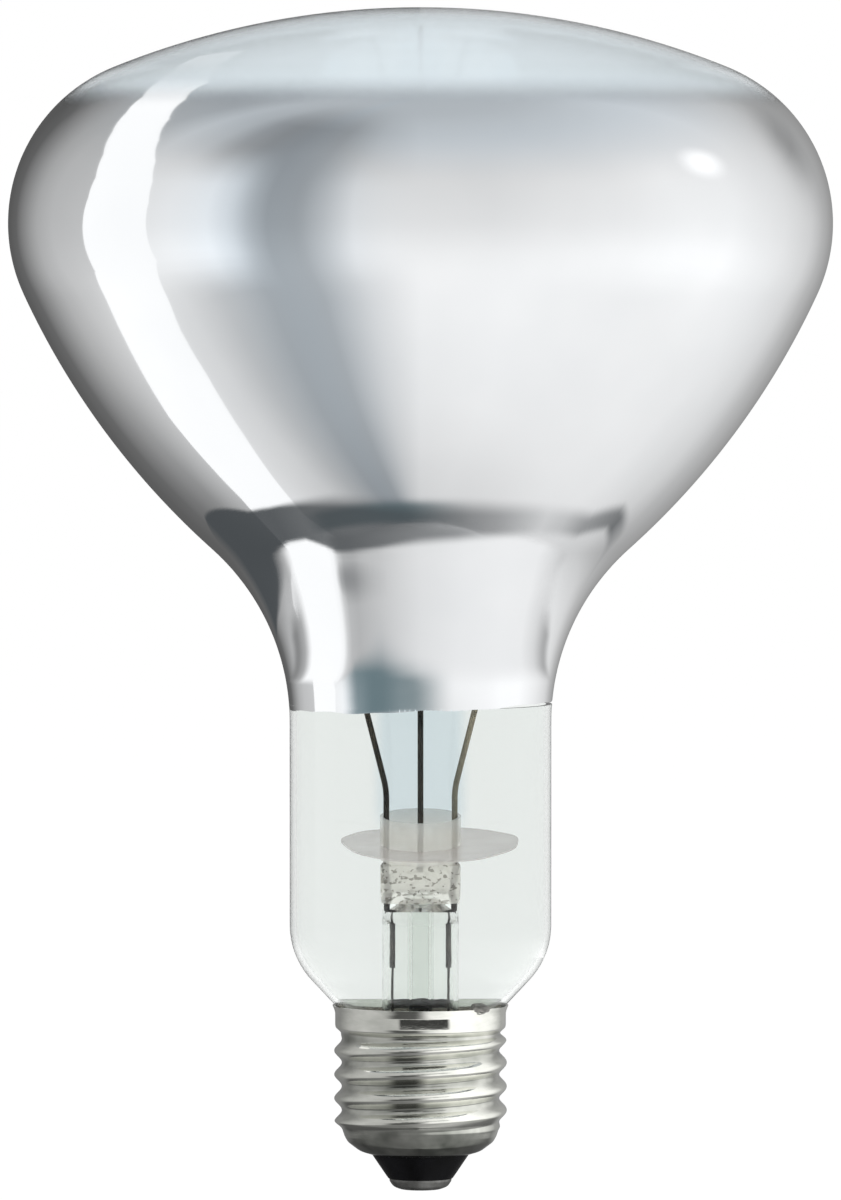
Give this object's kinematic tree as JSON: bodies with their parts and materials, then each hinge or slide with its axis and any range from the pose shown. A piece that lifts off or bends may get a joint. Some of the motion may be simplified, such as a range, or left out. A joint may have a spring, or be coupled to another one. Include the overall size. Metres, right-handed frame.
{
  "type": "infrared heat lamp bulb",
  "caption": "Reflector heat lamp bulb: clear domed face, mirrored body, clear neck that shows the stem and leads, and a screw cap with a black insulator.",
  "frame": {"origin": "middle of the flat tip of the centre contact, the lowest point of the cap", "axes": "+Z along the lamp's axis from the cap to the domed face; +X towards the right lead and -Y towards the front of the press, as in the picture"},
  "size_m": [0.1252, 0.1252, 0.1798],
  "materials": {
    "clear_glass": "clear, polished",
    "mirror_film": "mirror",
    "plated_shell": "tinned, satin bright",
    "cement": "matt",
    "black_glass": "glossy",
    "contact_brass": "dull, tinned",
    "solder": "dull solder",
    "stem_glass": "clear",
    "lead_nickel": "drawn wire",
    "seal_wire": "drawn wire",
    "lead_copper": "dull drawn wire",
    "mica": "translucent, smooth",
    "collar_mica": "smooth",
    "tungsten": "coiled wire",
    "molybdenum": "drawn wire"
  },
  "bodies": {
    "root": {"glass_envelope": "clear_glass", "mirror_coating": "mirror_film", "screw_shell": "plated_shell", "cap_cement": "cement", "cap_insulator": "black_glass", "centre_contact": "contact_brass", "centre_solder": "solder", "side_solder": "solder", "stem": "stem_glass", "exhaust_tube": "stem_glass", "inner_lead_left": "lead_nickel", "inner_lead_right": "lead_nickel", "press_wire_left": "seal_wire", "press_wire_right": "seal_wire", "outer_lead_left": "lead_copper", "outer_lead_right": "lead_copper", "centre_support": "lead_nickel", "support_button": "stem_glass", "heat_shield": "mica", "heat_shield_collar": "collar_mica", "filament": "tungsten", "filament_clamp_left": "lead_nickel", "filament_clamp_right": "lead_nickel", "filament_hook_1": "molybdenum", "filament_hook_2": "molybdenum", "filament_hook_3": "molybdenum", "filament_hook_4": "molybdenum", "filament_hook_5": "molybdenum"}
  },
  "joints": []
}
